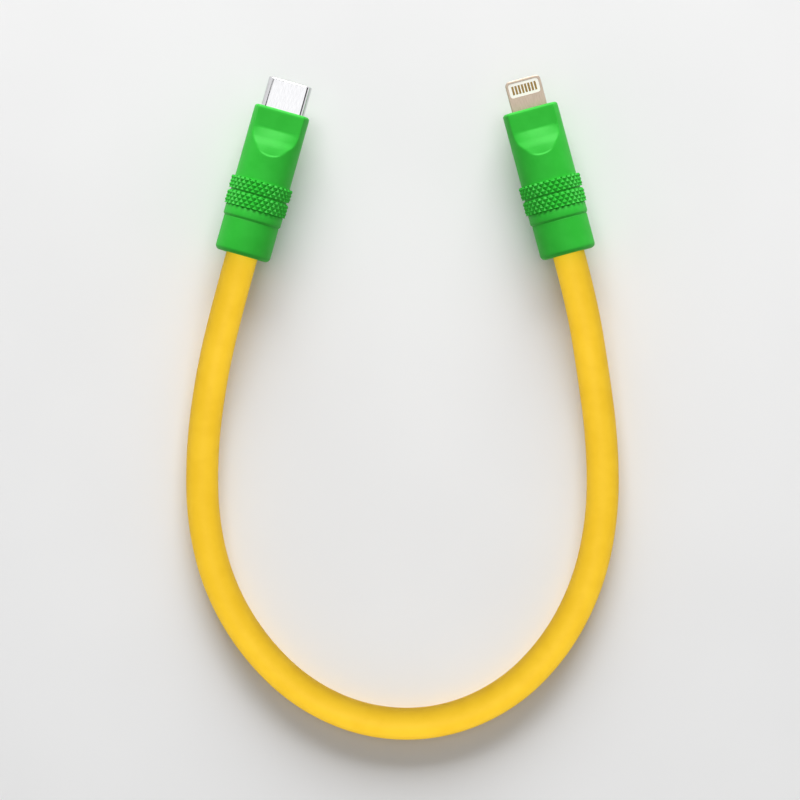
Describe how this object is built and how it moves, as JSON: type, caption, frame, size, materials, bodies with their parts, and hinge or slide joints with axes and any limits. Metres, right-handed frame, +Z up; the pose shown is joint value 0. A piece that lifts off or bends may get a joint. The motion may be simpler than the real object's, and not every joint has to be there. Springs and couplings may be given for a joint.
{
  "type": "charging cable",
  "caption": "Short, thick charging cable laid in a loop, with an oval plug and a flat tab plug, each in a round moulded grip with finger flats and knurled bands.",
  "frame": {"origin": "on the table, midway across and along the two plugs without their cord", "axes": "+X from the oval plug to the tab plug, +Y the way that both plugs point, +Z up from the table"},
  "size_m": [0.0807, 0.1238, 0.0118],
  "materials": {
    "yellow_jacket": "satin, smooth",
    "cord_core": "matt",
    "green_moulding": "satin, smooth",
    "plated_steel": "bright nickel plate",
    "tab_metal": "bright nickel plate",
    "can_steel": "tinned",
    "spring_steel": "plain",
    "white_plastic": "matt",
    "black_plastic": "matt",
    "gold_contacts": "gold plate",
    "board_green": "solder mask",
    "chip_black": "matt",
    "capacitor_tan": "ceramic",
    "red_wire": "insulation",
    "black_wire": "insulation",
    "green_wire": "insulation",
    "white_wire": "insulation"
  },
  "bodies": {
    "root": {"cable_core": "cord_core", "cable_jacket": "yellow_jacket", "oval_plug_body": "green_moulding", "oval_plug_circuit_board": "board_green", "oval_plug_contact_housing": "black_plastic", "oval_plug_crimp_ring": "can_steel", "oval_plug_data_minus_wire": "white_wire", "oval_plug_data_plus_wire": "green_wire", "oval_plug_ground_wire": "black_wire", "oval_plug_latch_plate": "spring_steel", "oval_plug_lower_can": "can_steel", "oval_plug_lower_contacts": "gold_contacts", "oval_plug_lower_ground_spring": "spring_steel", "oval_plug_power_wire": "red_wire", "oval_plug_resistor": "chip_black", "oval_plug_shell": "plated_steel", "oval_plug_upper_can": "can_steel", "oval_plug_upper_contacts": "gold_contacts", "oval_plug_upper_ground_spring": "spring_steel", "tab_plug_body": "green_moulding", "tab_plug_capacitors": "capacitor_tan", "tab_plug_circuit_board": "board_green", "tab_plug_contact_insert": "white_plastic", "tab_plug_control_chip": "chip_black", "tab_plug_crimp_ring": "can_steel", "tab_plug_data_minus_wire": "white_wire", "tab_plug_data_plus_wire": "green_wire", "tab_plug_frame": "tab_metal", "tab_plug_ground_wire": "black_wire", "tab_plug_lower_can": "can_steel", "tab_plug_lower_contacts": "gold_contacts", "tab_plug_power_wire": "red_wire", "tab_plug_upper_can": "can_steel", "tab_plug_upper_contacts": "gold_contacts"}
  },
  "joints": []
}
